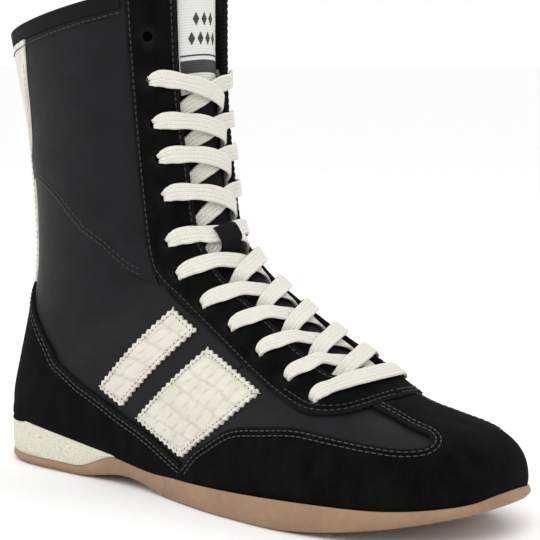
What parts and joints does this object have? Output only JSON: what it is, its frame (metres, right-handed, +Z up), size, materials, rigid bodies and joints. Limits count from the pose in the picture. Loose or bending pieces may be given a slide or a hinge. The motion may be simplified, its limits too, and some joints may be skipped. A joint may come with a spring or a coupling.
{
  "type": "boxing boot",
  "caption": "Right-foot high lace-up boxing boot with suede overlays, padded tongue, tapered cream back panel, thin gum sole and cream heel wedge.",
  "frame": {"origin": "on the floor, under the middle of the boot's bounding box", "axes": "+X to the toe, +Y to the boot's medial (inner) side, +Z up"},
  "size_m": [0.2822, 0.0974, 0.2479],
  "materials": {
    "nylon": "tightly woven satin nylon, near black",
    "suede": "matte black suede with brushed nap",
    "cream_leather": "cream leather embossed with scales",
    "tape": "ribbed black tape",
    "lace": "flat woven off-white lace",
    "lining": "dark knitted lining",
    "foam": "soft grey foam",
    "label": "woven white label, plain",
    "board": "stiff fibre board",
    "gum": "brown gum rubber, matte",
    "cream_rubber": "cream speckled foam rubber"
  },
  "bodies": {
    "boot": {"backstay": "cream_leather", "collar_binding": "tape", "collar_foam": "foam", "eyestay": "suede", "facing_lateral": "tape", "facing_medial": "tape", "footbed": "lining", "heel_counter": "board", "heel_foxing": "suede", "heel_wedge": "cream_rubber", "insole_board": "board", "lace": "lace", "lace_keeper": "tape", "lining": "lining", "outsole": "gum", "quarter_lateral": "nylon", "quarter_medial": "nylon", "shaft_panel_lateral": "nylon", "shaft_panel_medial": "nylon", "side_bar_front_lateral": "cream_leather", "side_bar_front_medial": "cream_leather", "side_bar_rear_lateral": "cream_leather", "side_bar_rear_medial": "cream_leather", "toe_cap": "suede", "toe_puff": "board", "tongue_foam_lower": "foam", "tongue_lining_lower": "lining", "tongue_shell_lower": "nylon", "vamp": "nylon"},
    "tongue_top": {"tongue_shell_upper": "nylon", "tongue_foam_upper": "foam", "tongue_lining_upper": "lining", "tongue_binding": "tape", "tongue_label": "label"}
  },
  "joints": [
    {"name": "tongue_tilt", "type": "hinge", "parent": "boot", "child": "tongue_top", "pos_m": [-0.02504, 0.001, 0.13045], "axis": [0, 1, 0], "range_deg": [-25, 0], "stiffness_Nm_per_rad": 0.15}
  ]
}
